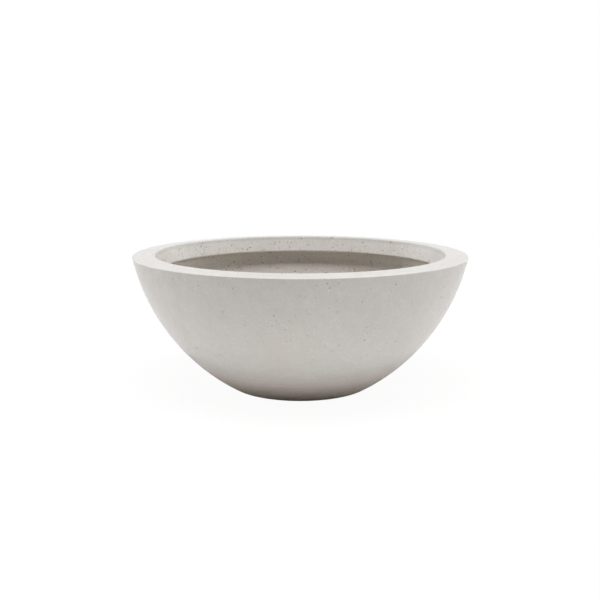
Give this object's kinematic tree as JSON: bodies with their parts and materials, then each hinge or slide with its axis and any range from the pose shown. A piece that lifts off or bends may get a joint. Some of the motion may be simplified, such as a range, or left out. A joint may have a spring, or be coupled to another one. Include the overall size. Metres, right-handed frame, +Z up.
{
  "type": "bowl planter",
  "caption": "Low round fiberclay bowl planter with a wide sloping rim, a thick inner lip, a small flat base and a plugged drain hole.",
  "frame": {"origin": "centre of the flat base, on the ground", "axes": "+Z up along the bowl's axis; the bowl is round, and -Y is the side that the picture shows as the front"},
  "size_m": [0.5, 0.4998, 0.2022],
  "materials": {
    "fiberclay_face": "matte",
    "fiberclay_inside": "matte",
    "glass_mat": "matte",
    "plug_rubber": "matte"
  },
  "bodies": {
    "bowl": {"face_coat": "fiberclay_face", "base_mat": "glass_mat", "wall_mats": "glass_mat", "backing_coat": "fiberclay_inside", "rim_collar": "fiberclay_face"},
    "plug": {"drain_plug": "plug_rubber"}
  },
  "joints": [
    {"name": "plug_pull", "type": "slide", "parent": "bowl", "child": "plug", "axis": [0, 0, 1], "range_m": [0, 0.06]}
  ]
}
